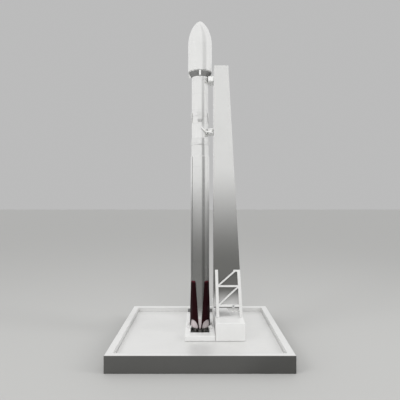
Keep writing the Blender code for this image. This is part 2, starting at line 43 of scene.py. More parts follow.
# The camera stands level in front of the model, a little below the rocket's middle, on the line of its axis.
lens_data = bpy.data.cameras.new("camera")
lens_data.sensor_width = 36.0
lens_data.lens = 37.05
camera = bpy.data.objects.new("camera", lens_data)
camera.location = (0.0, -0.6525, 0.2234)
camera.rotation_euler = (np.pi / 2, 0.0, 0.0)
bpy.context.scene.collection.objects.link(camera)
bpy.context.scene.camera = camera


# The tray base: a raised square rim round a sunken floor, two mouldings in satin white lacquer, with painted shade on
# the rim's outer sides, which are coloured dark grey. The floor is pressed into the rim, and the trench under the
# rocket is part of it.
def socket(group, way, kind, name, value=None):
    """Adds an input or output to a node group."""
    made = group.interface.new_socket(name=name, in_out=way, socket_type="NodeSocket" + kind)
    if value is not None:
        made.default_value = value


def node(tree, kind, links=None, **settings):
    """A node with its settings, fed by links of {input name or number: the socket that feeds it or a value}."""
    made = tree.nodes.new("ShaderNode" + kind)
    for name, value in settings.items():
        setattr(made, name, value)
    for name, value in (links or {}).items():
        if isinstance(value, bpy.types.NodeSocket):
            tree.links.new(value, made.inputs[name])
        else:
            made.inputs[name].default_value = value
    return made


def make_skin_group():
    """Moulded or painted skin. Broad soft noise shifts the colour and the gloss a little, and fine noise gives
    the height of the faint ripple that paint and moulded plastic have."""
    group = bpy.data.node_groups.new("skin", "ShaderNodeTree")
    for kind, name, value in (("Color", "Colour", None), ("Float", "Mottle", 0.05), ("Float", "Roughness", 0.3),
                              ("Float", "Ripple Scale", 900.0), ("Float", "Dust", 0.0)):
        socket(group, "INPUT", kind, name, value)
    for kind, name in (("Color", "Colour"), ("Float", "Roughness"), ("Float", "Height")):
        socket(group, "OUTPUT", kind, name)
    entry = group.nodes.new("NodeGroupInput").outputs
    leave = group.nodes.new("NodeGroupOutput").inputs
    place = node(group, "TexCoord").outputs["Object"]
    broad = node(group, "TexNoise", {"Vector": place, "Scale": 26.0, "Detail": 4.0}).outputs["Fac"]
    fine = node(group, "TexNoise", {"Vector": place, "Scale": entry["Ripple Scale"], "Detail": 2.0}).outputs["Fac"]
    even = node(group, "MapRange", {"Value": broad, "From Min": 0.3, "From Max": 0.7}).outputs["Result"]
    share = node(group, "Math", {0: even, 1: entry["Mottle"]}, operation="MULTIPLY").outputs[0]
    keep = node(group, "Math", {0: 1.0, 1: share}, operation="SUBTRACT").outputs[0]
    toned = node(group, "VectorMath", {0: entry["Colour"], "Scale": keep}, operation="SCALE").outputs[0]
    facing = node(group, "SeparateXYZ", {0: node(group, "NewGeometry").outputs["Normal"]}).outputs["Z"]
    specks = node(group, "TexNoise", {"Vector": place, "Scale": 2100.0, "Detail": 1.0}).outputs["Fac"]
    upward = node(group, "MapRange", {"Value": facing, "From Min": 0.75, "From Max": 1.0}).outputs["Result"]
    lying = node(group, "MapRange", {"Value": specks, "From Min": 0.56, "From Max": 0.74}).outputs["Result"]
    settled = node(group, "Math", {0: upward, 1: lying}, operation="MULTIPLY").outputs[0]
    dust = node(group, "Math", {0: settled, 1: entry["Dust"]}, operation="MULTIPLY").outputs[0]
    dusty = node(group, "Mix", {0: dust, 6: toned, 7: (0.52, 0.51, 0.49, 1.0)}, data_type="RGBA").outputs[2]
    shift = node(group, "MapRange", {"Value": even, "To Min": -0.035, "To Max": 0.035}).outputs["Result"]
    duller = node(group, "Math", {0: entry["Roughness"], 1: shift}, operation="ADD").outputs[0]
    rough = node(group, "Math", {0: duller, 1: dust}, operation="ADD").outputs[0]
    for name, value in (("Colour", dusty), ("Roughness", rough), ("Height", fine)):
        group.links.new(value, leave[name])
    return group


skin_group = make_skin_group()


def skin(name, colour, roughness, mottle=0.05, ripple=900.0, ripple_depth=0.02, dust=0.0, metallic=0.0):
    """A material on the skin group: colour, gloss and ripple from the group, and the rest on the shader."""
    made = bpy.data.materials.new(name)
    made.use_nodes = True
    tree = made.node_tree
    shader = tree.nodes["Principled BSDF"]
    grain = node(tree, "Group", node_tree=skin_group)
    for label, value in (("Colour", (*colour, 1.0)), ("Mottle", mottle), ("Roughness", roughness),
                         ("Ripple Scale", ripple), ("Dust", dust)):
        grain.inputs[label].default_value = value
    bump = node(tree, "Bump", {"Height": grain.outputs["Height"], "Strength": ripple_depth, "Distance": 0.0006})
    tree.links.new(grain.outputs["Colour"], shader.inputs["Base Color"])
    tree.links.new(grain.outputs["Roughness"], shader.inputs["Roughness"])
    tree.links.new(bump.outputs["Normal"], shader.inputs["Normal"])
    shader.inputs["Metallic"].default_value = metallic
    return made


def recolour(material, colour):
    """Feeds a skin's colour from a node's output in place of its plain colour."""
    tree = material.node_tree
    grain = next(item for item in tree.nodes if item.bl_idname == "ShaderNodeGroup" and item.node_tree == skin_group)
    tree.links.new(colour, grain.inputs["Colour"])


def finish(material, *names):
    """Puts a material on carried-over CAD nodes."""
    for name in names:
        nodes[name].data.materials.clear()
        nodes[name].data.materials.append(material)


# The second colour is painted shade, for the rim's outer sides.
LACQUER, SIDE_SHADE_GREY = (0.77, 0.77, 0.76), (0.105, 0.105, 0.1)
rim_white = skin("rim satin lacquer", LACQUER, 0.34, mottle=0.03, ripple=1300.0, metallic=0.3)
tray_white = skin("tray satin lacquer", LACQUER, 0.4, mottle=0.03, ripple=1300.0, dust=0.15, metallic=0.35)
# Painted shade: the outer sides, where the larger of |x| and |y| is within about 0.4 mm of the base's half width, are
# dark grey, a painted reflection of dark ground.
rim_tree = rim_white.node_tree
rim_place = node(rim_tree, "TexCoord").outputs["Object"]
from_axis = node(rim_tree, "VectorMath", {0: rim_place}, operation="ABSOLUTE").outputs[0]
far = node(rim_tree, "SeparateXYZ", {0: from_axis})
reach = node(rim_tree, "Math", {0: far.outputs["X"], 1: far.outputs["Y"]}, operation="MAXIMUM").outputs[0]
outer_side_shade = node(rim_tree, "MapRange", {"Value": reach, "From Min": 0.1234, "From Max": 0.1238}).outputs["Result"]
rim_colour = node(rim_tree, "Mix", {0: outer_side_shade, 6: (*LACQUER, 1.0), 7: (*SIDE_SHADE_GREY, 1.0)}, data_type="RGBA")
recolour(rim_white, rim_colour.outputs[2])
finish(rim_white, "base_rim")
finish(tray_white, "base_floor")


# The launch mount: a low white platform let into the tray and screwed down along its edges, with the flame opening
# through it, a wall across its rear end, coloured dark grey as painted shade for the narrow gap between it and the
# platform, and a near-black curved deflector in the trench below.
SHARP_ANGLE = 35.0  # edges that turn by more, in degrees, are shaded sharp


def shell(name, grids, material, body, wrap_rows=False, wrap_columns=True, rim=None, bored=False):
    """One object of one or more grids of points: four neighbours make a face, the last row or column joins the
    first where it wraps, doubled points are merged and open ends are closed. The rim is a number for each point,
    kept for the material. A bored piece has its front and rear faces filled round the bore."""
    points, quads, count = [], [], 0
    for grid in grids:
        rows, columns = grid.shape[:2]
        index = np.arange(rows * columns).reshape(rows, columns) + count
        count += rows * columns
        index = np.vstack([index, index[:1]]) if wrap_rows else index
        index = np.hstack([index, index[:, :1]]) if wrap_columns else index
        quads.append(np.stack([index[:-1, :-1], index[:-1, 1:], index[1:, 1:], index[1:, :-1]], -1).reshape(-1, 4))
        points.append(grid.reshape(-1, 3))
    mesh = bpy.data.meshes.new(name)
    mesh.from_pydata(np.vstack(points).tolist(), [], np.vstack(quads).tolist())
    if rim is not None:
        mesh.attributes.new("rim", "FLOAT", "POINT").data.foreach_set("value", rim.ravel().astype(np.float32))
    work = bmesh.new()
    work.from_mesh(mesh)
    bmesh.ops.remove_doubles(work, verts=work.verts, dist=1e-6)
    bmesh.ops.dissolve_degenerate(work, edges=work.edges, dist=1e-7)
    for side in (-1, 1) if bored else ():
        ends = [edge for edge in work.edges if edge.is_boundary and side * edge.verts[0].co.y > 0]
        bmesh.ops.triangle_fill(work, edges=ends, use_beauty=True)
    bmesh.ops.holes_fill(work, edges=[edge for edge in work.edges if edge.is_boundary], sides=0)
    bmesh.ops.recalc_face_normals(work, faces=work.faces)
    work.to_mesh(mesh)
    work.free()
    mesh.materials.append(material)
    mesh.shade_smooth()
    mesh.set_sharp_from_angle(angle=np.radians(SHARP_ANGLE))
    made = bpy.data.objects.new(name, mesh)
    bpy.context.scene.collection.objects.link(made)
    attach(made, body)
    return made


def screw_head(x, y, z, radius, rise, way=2, sign=1):
    """A low round head in millimetres: its radius shrinks as the cosine of an angle from its rim to its crown, and
    it stands out as the sine, along one axis (0, 1 or 2) in one sense."""
    lift = np.linspace(0, np.pi / 2, 5)[:, None]
    around = 2 * np.pi * np.arange(14) / 14
    out = radius * np.cos(lift) * np.stack([np.cos(around), np.sin(around)])[:, None]
    head = [out[0], out[1]]
    head.insert(way, np.broadcast_to(sign * rise * np.sin(lift), out[0].shape))
    return (np.stack(head, axis=-1) + (x, y, z)) * MM


DECK = 23.4  # the rim's top over the desk, from which heights in millimetres are counted
mount_white = skin("mount white plastic", (0.84, 0.84, 0.83), 0.34, mottle=0.03, ripple=1100.0, dust=0.2)
deflector_near_black = skin("deflector near-black", (0.06, 0.06, 0.06), 0.55, mottle=0.35, ripple=700.0, ripple_depth=0.12)
# The rear wall's dark grey is painted shade for the narrow gap between it and the platform.
wall_shade_grey = skin("wall grey", (0.2, 0.2, 0.2), 0.5, mottle=0.2, ripple=700.0, ripple_depth=0.08)
finish(mount_white, "launch_mount", "hold_down_1", "hold_down_2", "hold_down_3", "hold_down_4")
finish(wall_shade_grey, "mount_rear_wall")
finish(deflector_near_black, "flame_deflector")
mount_screws = [screw_head(x, y, DECK - 0.04, 0.85, 0.4) for x in (-19.8, 19.8) for y in np.linspace(-45.5, 79.5, 11)]
shell("mount_screws", mount_screws, mount_white, "root")

# The strongback's stand: a plinth flush with the mount's front and two truss frames on it, glued up from
# flat white bars with a screw at each joint, and a steel pin through both.
pin_steel = skin("pin steel", (0.55, 0.55, 0.56), 0.3, ripple=1500.0, ripple_depth=0.05, metallic=0.95)
frame_white = skin("frame white plastic", (0.78, 0.78, 0.77), 0.34, mottle=0.03, ripple=1100.0, dust=0.2)
finish(mount_white, "strongback_plinth")
finish(frame_white, "frame_front", "frame_rear")
# The chords are straight. The left one leans to the rocket from 27.5 mm at its foot, and the right one is
# 2.25 mm inside the mast's edge, which falls away from 44 mm at the top.
MAST_TOP, MAST_FOOT, MAST_LEFT, MAST_RIGHT_TOP, MAST_SLOPE, MAST_HALF = 409, 33.7, 21.1, 44, 0.0562, 14
PIVOT_X, PIVOT_Z, LUG_R, BORE_R = 51.5, 36.2, 10.5, 1.5
joint_heights = np.array([23.5, 36.9, 67.0, 89.5])
left_chord = 27.5 - 0.0288 * (joint_heights - 19.2)
right_chord = MAST_RIGHT_TOP + (MAST_TOP - joint_heights) * MAST_SLOPE - 2.25
frame_screws = [screw_head(x, side * 17.96, DECK + z, 0.8, 0.35, way=1, sign=side)
                for side in (-1, 1) for chord in (left_chord, right_chord) for x, z in zip(chord, joint_heights)]
shell("frame_screws", frame_screws, frame_white, "root")


def turned(profile, steps=144, start=0.0, sweep=2 * np.pi, centre=(0.0, 0.0)):
    """An outline of (radius, height) points carried round a vertical axis: each point goes to radius times the
    cosine and sine of every turn on an even grid, at its own height. Gives rows by turns by 3."""
    turns = start + sweep * np.arange(steps + (sweep < 2 * np.pi)) / steps
    radius, height = np.asarray(profile, float).T
    return np.stack([centre[0] + np.outer(radius, np.cos(turns)), centre[1] + np.outer(radius, np.sin(turns)),
                     np.repeat(height[:, None], len(turns), axis=1)], axis=-1)


def pin_profile(radius, low, high, round_off):
    """A pin's side from end to end, its two rims rounded to quarter circles."""
    bend = np.linspace(0, np.pi / 2, 6)
    out, along = radius - round_off * (1 - np.sin(bend)), round_off * (1 - np.cos(bend))
    ends = np.concatenate([low + along, (high - along)[::-1]])
    return [(0, low), *zip(np.concatenate([out, out[::-1]]), ends), (0, high)]


pivot = turned(pin_profile(1.2, -19, 19, 0.5), steps=32)
pivot = np.stack([pivot[..., 0] + PIVOT_X, pivot[..., 2], pivot[..., 1] + DECK + PIVOT_Z], axis=-1)
pivot_pin = shell("pivot_pin_turned", [pivot * MM], pin_steel, "root")
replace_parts(pivot_pin, "pivot_pin")


# The strongback: one tapered mast of glossy painted plastic with rounded rims and painted shade low down, hinged at
# its round foot lug, with a thin near-black strip under its foot as painted shadow for the gap there, two arms
# screwed to it and a claw on each side of the middle arm.
def inset(outline, distance):
    """Moves each corner of a closed anticlockwise outline inwards, along the sum of its two edges' inward
    normals, by the amount that shifts both edges by the distance."""
    ahead = np.roll(outline, -1, axis=0) - outline
    ahead /= np.linalg.norm(ahead, axis=1, keepdims=True)
    inward = np.stack([-ahead[:, 1], ahead[:, 0]], axis=1)
    both = inward + np.roll(inward, 1, axis=0)
    return outline + 2 * distance * both / (both ** 2).sum(axis=1, keepdims=True)


def rounded_plate(outline, low, high, edge, steps=5):
    """An outline drawn out from low to high with rounded rims: at each angle round a rim the outline is inset by
    edge times one minus the sine, and stands in from the end by edge times one minus the cosine. A first ring
    just inside each rim keeps the flat face flat."""
    bend = np.linspace(0, np.pi / 2, steps + 1)
    inward = np.concatenate([[1.2 * edge], edge * (1 - np.sin(bend))])
    along = np.concatenate([[0], edge * (1 - np.cos(bend))])
    levels = np.concatenate([low + along, (high - along)[::-1]])
    rings = np.stack([inset(outline, step) for step in np.concatenate([inward, inward[::-1]])])
    return np.concatenate([rings, np.broadcast_to(levels[:, None, None], (*rings.shape[:2], 1))], axis=-1)


def make_fade_group():
    """Painted shade: a colour that goes from a darker one low on the model to another high up, as 3t² - 2t³ of the
    height between two levels in metres, and back to the second in the same way over the last 25 mm above a foot
    level, where the painted shade is lifted."""
    group = bpy.data.node_groups.new("height fade", "ShaderNodeTree")
    for kind, name in (("Color", "Low Colour"), ("Color", "High Colour"), ("Float", "Low Level"),
                       ("Float", "High Level"), ("Float", "Foot Level")):
        socket(group, "INPUT", kind, name)
    socket(group, "OUTPUT", "Color", "Colour")
    entry = group.nodes.new("NodeGroupInput").outputs
    height = node(group, "SeparateXYZ", {0: node(group, "TexCoord").outputs["Object"]}).outputs["Z"]
    share = node(group, "MapRange", {"Value": height, "From Min": entry["Low Level"],
                                     "From Max": entry["High Level"]},
                 interpolation_type="SMOOTHSTEP").outputs["Result"]
    above = node(group, "Math", {0: height, 1: entry["Foot Level"]}, operation="SUBTRACT").outputs[0]
    foot = node(group, "MapRange", {"Value": above, "From Min": 0.025, "From Max": 0.0},
                interpolation_type="SMOOTHSTEP").outputs["Result"]
    pale = node(group, "Math", {0: share, 1: foot}, operation="MAXIMUM").outputs[0]
    toned = node(group, "Mix", {0: pale, 6: entry["Low Colour"], 7: entry["High Colour"]}, data_type="RGBA")
    group.links.new(toned.outputs[2], group.nodes.new("NodeGroupOutput").inputs["Colour"])
    return group


def fade(material, low_colour, high_colour, low_level, high_level, foot_level):
    """Feeds a skin's colour from the height fade, the painted shade."""
    faded = node(material.node_tree, "Group",
                 {"Low Colour": (*low_colour, 1.0), "High Colour": (*high_colour, 1.0), "Low Level": low_level,
                  "High Level": high_level, "Foot Level": foot_level}, node_tree=fade_group)
    recolour(material, faded.outputs["Colour"])


fade_group = make_fade_group()
PANEL, TUBE = (0.76, 0.76, 0.75), (0.87, 0.87, 0.86)
panel_white = skin("panel pearl white", PANEL, 0.22, mottle=0.02, metallic=0.6)
# Painted shade: the mast's panel goes dark grey towards the bottom, and pale again at its foot.
fade(panel_white, (0.21, 0.21, 0.2), PANEL, 0.12, 0.275, 0.062)
arm_white = skin("arm white plastic", (0.82, 0.82, 0.81), 0.3, mottle=0.03)
lug_turns = np.radians(np.linspace(193.77, 346.23, 33))
lug = zip(PIVOT_X + LUG_R * np.cos(lug_turns), PIVOT_Z + LUG_R * np.sin(lug_turns))
mast_outline = np.array([(MAST_LEFT + 1, MAST_TOP), (MAST_LEFT, MAST_TOP - 10), (MAST_LEFT, MAST_FOOT), *lug,
                         (65.092, MAST_FOOT), (MAST_RIGHT_TOP, MAST_TOP)])
mast_skin = rounded_plate(mast_outline, -MAST_HALF, MAST_HALF, 0.6)
bore_turns = 2 * np.pi * np.arange(32) / 32
bore_ring = np.stack([PIVOT_X + BORE_R * np.cos(bore_turns), PIVOT_Z + BORE_R * np.sin(bore_turns)], axis=-1)
bore = np.stack([np.column_stack([bore_ring, np.full(32, level)]) for level in (-MAST_HALF, MAST_HALF)])
mast_faces = [points[..., [0, 2, 1]] + (0, 0, DECK) for points in (mast_skin, bore)]
mast = shell("strongback_mast_panel", [points * MM for points in mast_faces], panel_white,
             "strongback", bored=True)
mast.visible_glossy = False  # kept out of the reflections in the rocket and the tray
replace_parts(mast, "strongback_mast")
# Painted shadow: a thin near-black strip under the mast's foot stands for the shadowed gap there.
foot_shadow_grey = skin("foot shadow grey", (0.05, 0.05, 0.05), 0.6, mottle=0.2, ripple=700.0, ripple_depth=0.1)
foot_shadow_outline = np.array([(21.4, 32.9), (64.4, 32.9), (64.4, 34.1), (21.4, 34.1)])
foot_shadow_strip = rounded_plate(foot_shadow_outline, -MAST_HALF - 0.2, MAST_HALF + 0.2, 0.15)[..., [0, 2, 1]] + (0, 0, DECK)
shell("mast_foot_shadow_strip", [foot_shadow_strip * MM], foot_shadow_grey, "strongback")
finish(arm_white, "top_arm", "middle_arm", "claw_front", "claw_rear")
for end, side in (("front", -1), ("rear", 1)):
    claw_pin = turned(pin_profile(0.7, DECK + 303.2, DECK + 311.8, 0.3), steps=24, centre=(17, side * 12.6))
    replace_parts(shell(f"claw_pin_{end}_turned", [claw_pin * MM], pin_steel, "strongback"),
                f"claw_pin_{end}")


# The engines: nine thin metal bells under a round thrust plate, one in the middle and eight in a ring,
# cast as one cluster and glued into the engine section.
bell_metal = skin("bell metal", (0.24, 0.23, 0.22), 0.35, mottle=0.2, ripple=1800.0, ripple_depth=0.1, metallic=0.9)
# A bell's radius is 1.5 mm plus 1.8 mm times the share of the way down to the power 0.62. Its three hoops are
# bumps of 0.12 mm times e to the power of minus the square of the distance from the hoop over 0.025 of the way.
BELL_TOP, BELL_LENGTH, BELL_WALL = DECK - 0.5, 5.2, 0.45
down = np.linspace(0, 1, 41)
hoops = sum(0.12 * np.exp(-((down - place) / 0.025) ** 2) for place in (0.45, 0.72, 0.96))
flare = 1.5 + 1.8 * down ** 0.62
bell_side = [*zip(flare + hoops, BELL_TOP - BELL_LENGTH * down),
             *zip(flare[:4:-1] - BELL_WALL, BELL_TOP - BELL_LENGTH * down[:4:-1])]
bell_profile = [(0, BELL_TOP), *bell_side, (0, DECK - 1.9)]
ring_turns = np.pi / 4 * np.arange(8)
bell_places = [(0, 0), *zip(9.6 * np.cos(ring_turns), 9.6 * np.sin(ring_turns))]
bells = [turned(bell_profile, steps=40, centre=place) * MM for place in bell_places]
plate_profile = [(0, DECK - 0.9), (13.4, DECK - 0.9), (13.6, DECK - 0.7), (13.6, DECK + 0.3), (0, DECK + 0.3)]
thrust_plate = turned(plate_profile)
engines = shell("engine_bells", [thrust_plate * MM, *bells], bell_metal, "root")
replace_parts(engines, "engine_cluster")


# The first stage: a plain tube of glossy white painted plastic on its engine section, drawn in at the top, with a
# fine seam at each tank joint, and a rounded raceway glued up each side, with a thin grey strip beside it as painted
# shade for the groove along its edge.
def side_with_seams(radius, low, high, seams, depth=0.12, half=0.15):
    """The side of a tube as (radius, height) points from low to high, with a V-shaped seam at each joint."""
    rows = [(radius, low)]
    for seam in seams:
        rows += [(radius, seam - half), (radius - depth, seam), (radius, seam + half)]
    return rows + [(radius, high)]


def bent(azimuth, height, radius):
    """A grid bent round the rocket's axis: radius times the cosine and sine of each azimuth in degrees, at each
    height in millimetres over the rim."""
    turn, height, radius = np.broadcast_arrays(np.radians(azimuth), height, radius)
    return np.stack([radius * np.cos(turn), radius * np.sin(turn), height + DECK], axis=-1) * MM


def closed(outer, inner):
    """Two grids that face each other as one skin: up the outer rows and back down the inner ones, both drawn
    together half way between them along the two sides."""
    middle = (outer + inner) / 2
    outer, inner = (np.concatenate([middle[:, :1], grid, middle[:, -1:]], axis=1) for grid in (outer, inner))
    return np.concatenate([outer, inner[::-1]])


FIRST_R, NECK_R, SEAT_R = 14.6, 13.5, 14.9  # the seat is where the raceways' and legs' backs lie
tube_white = skin("tube pearl white", TUBE, 0.2, mottle=0.02, metallic=0.75)
# Painted shade: this white goes dark grey towards the bottom of the rocket, and pale again near the first stage's
# foot.
fade(tube_white, (0.29, 0.29, 0.28), TUBE, 0.12, 0.27, 0.033)
# Painted shade: the engine section is a pinkish grey, darker than the tube's white, for the shade between the legs.
section_white = skin("engine section white", (0.66, 0.58, 0.59), 0.3, mottle=0.05)
# The grey of the strip beside each raceway is painted shade.
groove_shade_grey = skin("bead grey", (0.3, 0.3, 0.295), 0.35, mottle=0.1, metallic=0.6)
tank_seams = DECK + np.array([84, 104, 146, 188, 226, 252])
stage_profile = [(0, DECK + 15.3), *side_with_seams(FIRST_R, DECK + 15.3, DECK + 268, tank_seams),
                 (NECK_R, DECK + 269.2), (NECK_R, DECK + 286), (0, DECK + 286)]
first_stage = shell("first_stage_tube", [turned(stage_profile) * MM], tube_white, "root")
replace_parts(first_stage, "first_stage")
section_profile = [(0, DECK + 0.6), (13.8, DECK + 0.6), (14.2, DECK + 0.75), (14.5, DECK + 1.05),
                   *side_with_seams(FIRST_R, DECK + 1.5, DECK + 15, DECK + np.array([4.5, 13.8])), (0, DECK + 15)]
engine_section = shell("engine_section_ring", [turned(section_profile) * MM], section_white, "root")
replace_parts(engine_section, "engine_section")
# A raceway's crown stands out by the root of one minus the sixth power of the place across, and the grey strip of
# painted shade beside it by one minus the square. The raceway narrows and sinks at the ends.
for number, azimuth in ((1, -149), (2, 31)):
    across = np.linspace(-1, 1, 17)
    height = np.array([82, 82.3, *np.linspace(84, 264, 13), 265, 266, 267, 267.6, 268])[:, None]
    side = across * np.interp(height, [82, 265, 268], [2.6, 2.6, 0.8])
    crown = (1 - across ** 6) ** 0.5 * np.interp(height, [82, 82.6, 266.5, 268], [0.25, 0.5, 0.5, 0.2])
    raceway = closed(bent(azimuth + side, height, SEAT_R + crown), bent(azimuth + side, height, SEAT_R))
    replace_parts(shell(f"raceway_{number}_cover", [raceway], tube_white, "root", wrap_rows=True,
                      wrap_columns=False), f"raceway_{number}")
    groove_shade_side = azimuth + 5.2 + 1.7 * across
    groove_shade_strip = closed(bent(groove_shade_side, height, 14.62 + 0.12 * (1 - across ** 2)), bent(groove_shade_side, height, 14.5))
    shell(f"raceway_{number}_bead", [groove_shade_strip], groove_shade_grey, "root", wrap_rows=True, wrap_columns=False)

# The landing legs: four tapering shells of very dark maroon gloss plastic, clipped up against the first stage, each
# with an arched foot, two shallow panels and a painted highlight of brighter maroon on its tip.
LEG_FOOT, LEG_TIP, LEG_TOP = 0.3, 71.5, 74.0
FOOT_HALF = 39.0
# The second colour is a painted highlight on the legs' tips.
MAROON, TIP_HIGHLIGHT_MAROON = (0.016, 0.0028, 0.0042), (0.08, 0.012, 0.02)


def leg_half(height):
    """Half a leg's width in degrees: straight from 39 at its foot to 17 below its tip, and 13 at the tip."""
    return np.interp(height, [LEG_FOOT, LEG_TIP, LEG_TOP], [FOOT_HALF, 17.0, 13.0])


def arch_height(angle):
    """The foot's arch: 13.4 mm times (1 - (angle / 33.5) squared) to the power 0.4, over the foot."""
    return LEG_FOOT + 13.4 * np.clip(1 - (angle / 33.5) ** 2, 0, 1) ** 0.4


def smooth_step(value, low, high):
    """Goes from 0 at low to 1 at high as 3t² - 2t³."""
    share = np.clip((value - low) / (high - low), 0, 1)
    return share * share * (3 - 2 * share)


leg_maroon = skin("leg maroon gloss", MAROON, 0.32, mottle=0.1)
leg_tree = leg_maroon.node_tree
leg_tree.nodes["Principled BSDF"].inputs["Specular IOR Level"].default_value = 0.05
# The rim attribute marks the tips, which get the painted highlight.
tip_highlight_mark = node(leg_tree, "Attribute", attribute_name="rim").outputs["Fac"]
leg_colour = node(leg_tree, "Mix", {0: tip_highlight_mark, 6: (*MAROON, 1.0), 7: (*TIP_HIGHLIGHT_MAROON, 1.0)}, data_type="RGBA")
recolour(leg_maroon, leg_colour.outputs[2])
across = np.concatenate([np.linspace(-1, -0.87, 8), 0.86 * np.cos(np.linspace(np.pi, 0, 81)),
                         np.linspace(0.87, 1, 8)])
# The arch is given by angle and the leg narrows with height, so the foot's line is found by halving the
# difference a dozen times.
foot = arch_height(FOOT_HALF * across)
for _ in range(12):
    foot = (foot + arch_height(leg_half(foot) * across)) / 2
height = foot + (LEG_TOP - foot) * np.linspace(0, 1, 121)[:, None]
spread = across * leg_half(height)
edge = np.clip((np.abs(across) - 0.95) / 0.05, 0, 1)
panel = smooth_step(np.abs(across), 0.18, 0.23) * (1 - smooth_step(np.abs(across), 0.74, 0.79))
panel = panel * smooth_step(height, 20.0, 21.2) * (1 - smooth_step(height, 66.0, 67.2))
# A leg stands 1.15 mm out, sinks by 55 % over its tip, is rounded by 0.35 mm along its sides as a quarter circle,
# and its two panels lie 0.22 mm deep.
proud = 1.15 * (1 - 0.55 * np.clip((height - LEG_TIP) / 2.5, 0, 1))
proud = proud - 0.35 * (1 - np.sqrt(1 - edge ** 2)) - 0.22 * panel
tip = smooth_step(height, 71.2, 73.0)
tip = np.pad(tip, ((0, 0), (1, 1)), mode="edge")
for number in range(4):
    azimuth = -45 + 90 * number
    leg = closed(bent(azimuth + spread, height, SEAT_R + proud), bent(azimuth + spread, height, SEAT_R))
    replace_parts(shell(f"leg_{number + 1}_shell", [leg], leg_maroon, "root", wrap_rows=True,
                      wrap_columns=False, rim=np.concatenate([tip, tip[::-1]])), f"landing_leg_{number + 1}")

# The interstage and second stage: two more tubes of the same painted plastic, with the folded grid fins
# and the small thruster pods glued round the interstage.
SECOND_R, COLLAR_R, FIN_SEAT_R, POD_SEAT_R = 12.95, 13.2, 13.25, 13.5
collar = side_with_seams(COLLAR_R, DECK + 286.3, DECK + 298.1, DECK + np.array([289.5, 296.4]))
barrel = side_with_seams(SECOND_R, DECK + 298.6, DECK + 331, DECK + np.array([319.8]))
inter_profile = [(0, DECK + 286.3), *collar, *barrel, (0, DECK + 331)]
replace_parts(shell("interstage_tube", [turned(inter_profile) * MM], tube_white, "root"), "interstage")
second_seams = DECK + np.array([340.5, 366, 387.5])
second_profile = [(0, DECK + 331.3), *side_with_seams(SECOND_R, DECK + 331.3, DECK + 393.1, second_seams),
                  (0, DECK + 393.1)]
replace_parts(shell("second_stage_tube", [turned(second_profile) * MM], tube_white, "root"),
            "second_stage")


def cell_row(cells, start, end, wall, slope):
    """A row of open cells between two ends: for each cell four places, either side of the top and the bottom of
    its two steep walls, and beside them 1 for a place that is down in the cell."""
    edges = np.linspace(start, end, cells + 1)
    left, right = edges[:-1] + wall, edges[1:] - wall
    places = np.stack([left, left + slope, right - slope, right], axis=1).ravel()
    return places, np.tile([0, 1, 1, 0], cells)


fin_across, cell_across = cell_row(7, -0.93, 0.93, 0.022, 0.008)
fin_up, cell_up = cell_row(6, 329.1, 336.9, 0.16, 0.06)
across = np.array([-1, -0.985, *fin_across, 0.985, 1])
height = np.array([321.5, 321.7, 328.3, 328.5, *fin_up, 337.1, 337.3])[:, None]
# A fin's plain root stands 0.45 mm out and its lattice 1.15 mm, with pits 0.5 mm deep and rims 0.12 mm lower. A
# pod's cover falls off to its sides by a quarter times the sixth power of the place across.
pits = np.pad(np.outer(cell_up, cell_across), ((4, 2), (2, 2)))
soften = 0.12 * (np.abs(across) > 0.99) + 0.12 * ((height > 337.2) | (height < 321.6))
proud = np.interp(height, [328.3, 328.5], [0.45, 1.15]) - 0.5 * pits - soften
fin_side = across * np.interp(height, [321.5, 328.5], [14, 19])
pod_across = np.linspace(-1, 1, 33)
pod_height = np.array([286.6, 286.75, 287.0, 288, 289, 290, 291, 292, 292.4])[:, None]
pod_side = pod_across * np.interp(pod_height, [290, 292.4], [11, 8])
pod_proud = (np.interp(pod_height, [286.6, 287.0, 290, 292.4], [0.75, 1.1, 1.1, 0.5])
             * (1 - 0.25 * np.abs(pod_across) ** 6))
for number in range(4):
    azimuth = -90 + 90 * number
    fin = closed(bent(azimuth + fin_side, height, FIN_SEAT_R + proud), bent(azimuth + fin_side, height, FIN_SEAT_R))
    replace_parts(shell(f"fin_{number + 1}_lattice", [fin], tube_white, "root", wrap_rows=True,
                      wrap_columns=False), f"grid_fin_{number + 1}")
    pod = closed(bent(azimuth + pod_side, pod_height, POD_SEAT_R + pod_proud),
                 bent(azimuth + pod_side, pod_height, POD_SEAT_R))
    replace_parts(shell(f"pod_{number + 1}_cover", [pod], tube_white, "root", wrap_rows=True,
                      wrap_columns=False), f"thruster_pod_{number + 1}")

# The payload fairing: two smooth halves of glossy white painted plastic that close round the nose, held over
# the second stage by a grey cone between four white posts.
adapter_grey = skin("adapter grey", (0.27, 0.27, 0.265), 0.45, mottle=0.35, ripple=700.0, ripple_depth=0.08)
cone_profile = [(0, DECK + 393.4), (SECOND_R, DECK + 393.4), (14.7, DECK + 396.1), (14.6, DECK + 396.3),
                (14.95, DECK + 396.5), (17.4, DECK + 400.2), (0, DECK + 400.2)]
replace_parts(shell("adapter_cone", [turned(cone_profile) * MM], adapter_grey, "root"), "skirt_liner")
finish(arm_white, "fairing_skirt")
